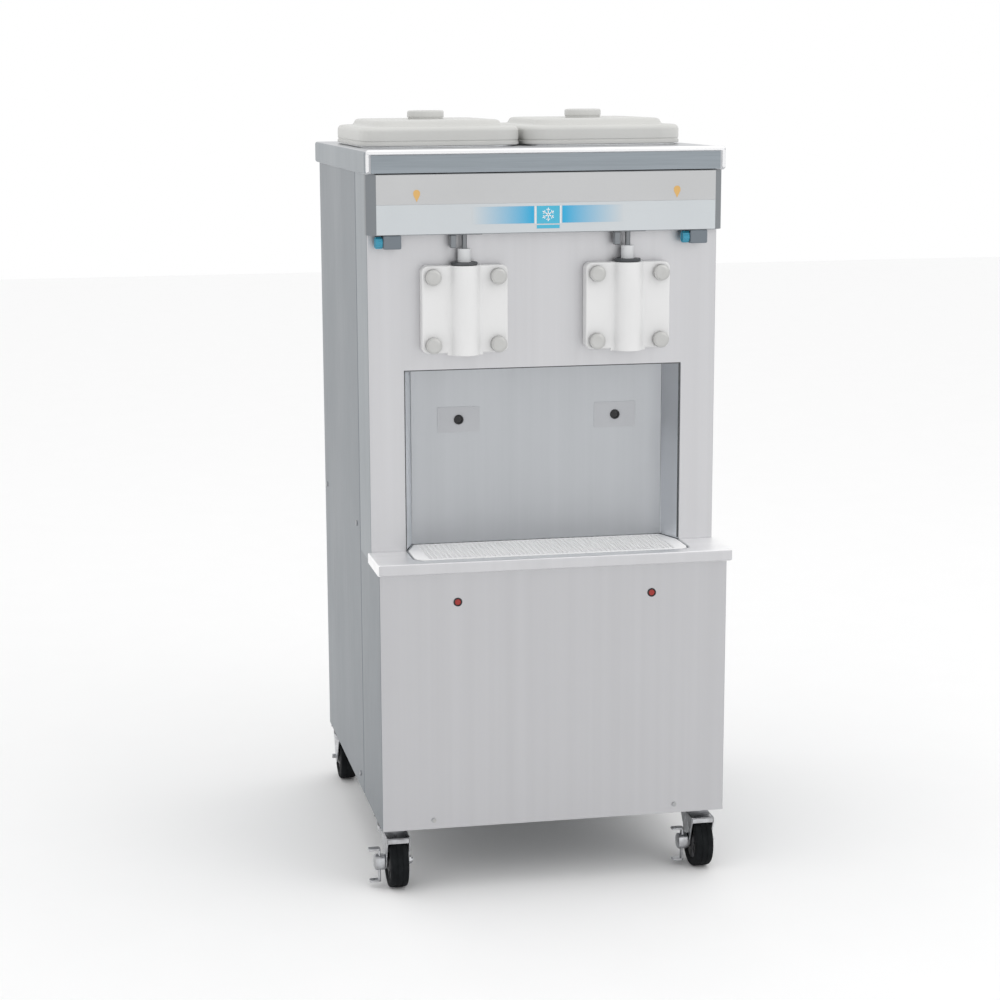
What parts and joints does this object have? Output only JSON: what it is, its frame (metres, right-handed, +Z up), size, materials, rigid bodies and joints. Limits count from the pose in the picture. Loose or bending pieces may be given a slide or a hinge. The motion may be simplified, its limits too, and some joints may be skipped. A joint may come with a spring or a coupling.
{
  "type": "floor-standing soft serve machine",
  "caption": "Floor-standing twin soft serve machine with a stainless cabinet, hopper covers on top, white dispensing doors, a serving recess with drip tray, and swivel casters.",
  "frame": {"origin": "on the floor under the middle of the footprint, midway between the ledge's front edge and the rear wheels' rear edge", "axes": "+X to the viewer's right when facing the dispensing doors, -Y out of the front, +Z up"},
  "size_m": [0.709, 0.838, 1.487],
  "materials": {
    "stainless_front": "vertical brushed stainless sheet, satin",
    "stainless_side": "vertical brushed stainless sheet, slightly darker",
    "stainless_recess": "satin stainless lining",
    "stainless_ledge": "satin stainless, horizontally brushed",
    "stainless_deck": "brushed stainless deck with a rolled front edge",
    "header_metal": "satin grey metal channel",
    "fascia_film": "printed overlay, two greys with a blue band",
    "frame_paint": "grey powder coat",
    "galvanised": "zinc-coated sheet",
    "zinc_screw": "zinc-plated fasteners",
    "hopper_steel": "polished stainless tub",
    "cover_plastic": "off-white moulded plastic, fine texture",
    "tube_steel": "polished tube",
    "cylinder_steel": "foamed stainless cylinder",
    "seal_rubber": "food-grade white rubber",
    "cast_grey": "painted cast iron",
    "belt_rubber": "black ribbed belt",
    "motor_paint": "blue-grey paint",
    "compressor_paint": "black enamel",
    "condenser_fins": "fin pack with copper tubes",
    "board_green": "circuit board with parts",
    "sensor_black": "dark lens in a black body",
    "solenoid_black": "moulded coil",
    "switch_grey": "grey moulded housing",
    "switch_blue": "blue moulded knob",
    "beater_plastic": "white food-grade plastic and steel",
    "pulley_iron": "machined cast iron",
    "fan_grey": "grey moulded fan",
    "button_red": "red push button in a black bushing",
    "door_plastic": "white moulded door",
    "valve_plastic": "pale draw valve with a dark collar",
    "rod_steel": "dark satin rod",
    "hand_screw_metal": "turned satin hand screw",
    "tray_plastic": "white moulded tray",
    "grid_plastic": "white perforated plastic grid",
    "caster_zinc": "bright zinc plate",
    "caster_dark": "dark zinc plate",
    "wheel_rubber": "black caster tread"
  },
  "bodies": {
    "cabinet": {"chassis_frame": "frame_paint", "side_panel_left": "stainless_side", "side_panel_right": "stainless_side", "rear_panel": "galvanised", "upper_front_panel": "stainless_front", "splash_liner": "stainless_recess", "lower_front_panel": "stainless_front", "drip_shelf": "stainless_ledge", "header_box": "header_metal", "header_fascia": "fascia_film", "top_deck": "stainless_deck", "panel_screws": "zinc_screw", "mix_hopper_left": "hopper_steel", "mix_hopper_right": "hopper_steel", "mix_feed_tubes": "tube_steel", "freezing_cylinders": "cylinder_steel", "door_gaskets": "seal_rubber", "gear_reducers": "cast_grey", "drive_belts": "belt_rubber", "beater_motors": "motor_paint", "compressors": "compressor_paint", "condenser": "condenser_fins", "control_board": "board_green", "cup_sensors": "sensor_black", "draw_solenoids": "solenoid_black", "switch_housings": "switch_grey", "caster_plates": "caster_dark"},
    "hopper_cover_left": {"hopper_cover_left": "cover_plastic"},
    "freezer_door_left": {"freezer_door_left": "door_plastic"},
    "hand_screws_left": {"hand_screws_left": "hand_screw_metal"},
    "draw_rod_left": {"draw_rod_left": "rod_steel"},
    "draw_valve_left": {"draw_valve_left": "valve_plastic"},
    "beater_left": {"beater_left": "beater_plastic"},
    "driven_pulley_left": {"driven_pulley_left": "pulley_iron"},
    "motor_pulley_left": {"motor_pulley_left": "pulley_iron"},
    "power_knob_left": {"power_knob_left": "switch_blue"},
    "reset_button_left": {"reset_button_left": "button_red"},
    "caster_brake_left": {"caster_brake_left": "caster_zinc"},
    "hopper_cover_right": {"hopper_cover_right": "cover_plastic"},
    "freezer_door_right": {"freezer_door_right": "door_plastic"},
    "hand_screws_right": {"hand_screws_right": "hand_screw_metal"},
    "draw_rod_right": {"draw_rod_right": "rod_steel"},
    "draw_valve_right": {"draw_valve_right": "valve_plastic"},
    "beater_right": {"beater_right": "beater_plastic"},
    "driven_pulley_right": {"driven_pulley_right": "pulley_iron"},
    "motor_pulley_right": {"motor_pulley_right": "pulley_iron"},
    "power_knob_right": {"power_knob_right": "switch_blue"},
    "reset_button_right": {"reset_button_right": "button_red"},
    "caster_brake_right": {"caster_brake_right": "caster_zinc"},
    "condenser_fan": {"condenser_fan": "fan_grey"},
    "drip_tray": {"drip_tray": "tray_plastic"},
    "splash_grid": {"splash_grid": "grid_plastic"},
    "caster_fork_front_left": {"caster_fork_front_left": "caster_zinc"},
    "caster_wheel_front_left": {"caster_wheel_front_left": "wheel_rubber"},
    "caster_fork_front_right": {"caster_fork_front_right": "caster_zinc"},
    "caster_wheel_front_right": {"caster_wheel_front_right": "wheel_rubber"},
    "caster_fork_rear_left": {"caster_fork_rear_left": "caster_zinc"},
    "caster_wheel_rear_left": {"caster_wheel_rear_left": "wheel_rubber"},
    "caster_fork_rear_right": {"caster_fork_rear_right": "caster_zinc"},
    "caster_wheel_rear_right": {"caster_wheel_rear_right": "wheel_rubber"}
  },
  "joints": [
    {"name": "lift_cover_left", "type": "slide", "parent": "cabinet", "child": "hopper_cover_left", "axis": [0, 0, 1], "range_m": [0, 0.3]},
    {"name": "pull_door_left", "type": "slide", "parent": "cabinet", "child": "freezer_door_left", "axis": [0, -1, 0], "range_m": [0, 0.2]},
    {"name": "unscrew_left", "type": "slide", "parent": "freezer_door_left", "child": "hand_screws_left", "axis": [0, -1, 0], "range_m": [0, 0.03]},
    {"name": "draw_left", "type": "slide", "parent": "cabinet", "child": "draw_rod_left", "axis": [0, 0, 1], "range_m": [0, 0.026], "stiffness_N_per_m": 200},
    {"name": "valve_lift_left", "type": "slide", "parent": "freezer_door_left", "child": "draw_valve_left", "axis": [0, 0, 1], "range_m": [0, 0.026]},
    {"name": "beater_spin_left", "type": "hinge", "parent": "cabinet", "child": "beater_left", "pos_m": [-0.158, 0, 1.123], "axis": [0, 1, 0], "continuous": true},
    {"name": "driven_pulley_spin_left", "type": "hinge", "parent": "cabinet", "child": "driven_pulley_left", "pos_m": [-0.158, 0.18, 1.123], "axis": [0, 1, 0], "continuous": true},
    {"name": "motor_pulley_spin_left", "type": "hinge", "parent": "cabinet", "child": "motor_pulley_left", "pos_m": [-0.158, 0.18, 0.765], "axis": [0, 1, 0], "continuous": true},
    {"name": "turn_power_left", "type": "hinge", "parent": "cabinet", "child": "power_knob_left", "pos_m": [-0.32, -0.316, 1.2505], "axis": [1, 0, 0], "range_deg": [-60, 60]},
    {"name": "press_reset_left", "type": "slide", "parent": "cabinet", "child": "reset_button_left", "axis": [0, 1, 0], "range_m": [0, 0.004], "stiffness_N_per_m": 400},
    {"name": "lift_cover_right", "type": "slide", "parent": "cabinet", "child": "hopper_cover_right", "axis": [0, 0, 1], "range_m": [0, 0.3]},
    {"name": "pull_door_right", "type": "slide", "parent": "cabinet", "child": "freezer_door_right", "axis": [0, -1, 0], "range_m": [0, 0.2]},
    {"name": "unscrew_right", "type": "slide", "parent": "freezer_door_right", "child": "hand_screws_right", "axis": [0, -1, 0], "range_m": [0, 0.03]},
    {"name": "draw_right", "type": "slide", "parent": "cabinet", "child": "draw_rod_right", "axis": [0, 0, 1], "range_m": [0, 0.026], "stiffness_N_per_m": 200},
    {"name": "valve_lift_right", "type": "slide", "parent": "freezer_door_right", "child": "draw_valve_right", "axis": [0, 0, 1], "range_m": [0, 0.026]},
    {"name": "beater_spin_right", "type": "hinge", "parent": "cabinet", "child": "beater_right", "pos_m": [0.158, 0, 1.123], "axis": [0, 1, 0], "continuous": true},
    {"name": "driven_pulley_spin_right", "type": "hinge", "parent": "cabinet", "child": "driven_pulley_right", "pos_m": [0.158, 0.18, 1.123], "axis": [0, 1, 0], "continuous": true},
    {"name": "motor_pulley_spin_right", "type": "hinge", "parent": "cabinet", "child": "motor_pulley_right", "pos_m": [0.158, 0.18, 0.765], "axis": [0, 1, 0], "continuous": true},
    {"name": "turn_power_right", "type": "hinge", "parent": "cabinet", "child": "power_knob_right", "pos_m": [0.27, -0.316, 1.2505], "axis": [1, 0, 0], "range_deg": [-60, 60]},
    {"name": "press_reset_right", "type": "slide", "parent": "cabinet", "child": "reset_button_right", "axis": [0, 1, 0], "range_m": [0, 0.004], "stiffness_N_per_m": 400},
    {"name": "fan_spin", "type": "hinge", "parent": "cabinet", "child": "condenser_fan", "pos_m": [0, 0.27, 0.36], "axis": [0, 1, 0], "continuous": true},
    {"name": "lift_tray", "type": "slide", "parent": "cabinet", "child": "drip_tray", "axis": [0, 0, 1], "range_m": [0, 0.18]},
    {"name": "lift_grid", "type": "slide", "parent": "drip_tray", "child": "splash_grid", "axis": [0, 0, 1], "range_m": [0, 0.04]},
    {"name": "swivel_front_left", "type": "hinge", "parent": "cabinet", "child": "caster_fork_front_left", "pos_m": [-0.306, -0.309, 0.11], "axis": [0, 0, 1], "continuous": true},
    {"name": "roll_front_left", "type": "hinge", "parent": "caster_fork_front_left", "child": "caster_wheel_front_left", "pos_m": [-0.306, -0.344, 0.051], "axis": [1, 0, 0], "continuous": true},
    {"name": "swivel_front_right", "type": "hinge", "parent": "cabinet", "child": "caster_fork_front_right", "pos_m": [0.306, -0.309, 0.11], "axis": [0, 0, 1], "continuous": true},
    {"name": "roll_front_right", "type": "hinge", "parent": "caster_fork_front_right", "child": "caster_wheel_front_right", "pos_m": [0.306, -0.344, 0.051], "axis": [1, 0, 0], "continuous": true},
    {"name": "swivel_rear_left", "type": "hinge", "parent": "cabinet", "child": "caster_fork_rear_left", "pos_m": [-0.306, 0.333, 0.11], "axis": [0, 0, 1], "continuous": true},
    {"name": "roll_rear_left", "type": "hinge", "parent": "caster_fork_rear_left", "child": "caster_wheel_rear_left", "pos_m": [-0.306, 0.368, 0.051], "axis": [1, 0, 0], "continuous": true},
    {"name": "swivel_rear_right", "type": "hinge", "parent": "cabinet", "child": "caster_fork_rear_right", "pos_m": [0.306, 0.333, 0.11], "axis": [0, 0, 1], "continuous": true},
    {"name": "roll_rear_right", "type": "hinge", "parent": "caster_fork_rear_right", "child": "caster_wheel_rear_right", "pos_m": [0.306, 0.368, 0.051], "axis": [1, 0, 0], "continuous": true},
    {"name": "brake_left", "type": "hinge", "parent": "caster_fork_front_left", "child": "caster_brake_left", "pos_m": [-0.306, -0.344, 0.051], "axis": [1, 0, 0], "range_deg": [0, 20]},
    {"name": "brake_right", "type": "hinge", "parent": "caster_fork_front_right", "child": "caster_brake_right", "pos_m": [0.306, -0.344, 0.051], "axis": [1, 0, 0], "range_deg": [0, 20]}
  ],
  "couplings": [
    {"joint": "valve_lift_left", "follows": "draw_left", "ratio": 1},
    {"joint": "driven_pulley_spin_left", "follows": "beater_spin_left", "ratio": 4},
    {"joint": "motor_pulley_spin_left", "follows": "beater_spin_left", "ratio": 7.413},
    {"joint": "valve_lift_right", "follows": "draw_right", "ratio": 1},
    {"joint": "driven_pulley_spin_right", "follows": "beater_spin_right", "ratio": 4},
    {"joint": "motor_pulley_spin_right", "follows": "beater_spin_right", "ratio": 7.413}
  ]
}
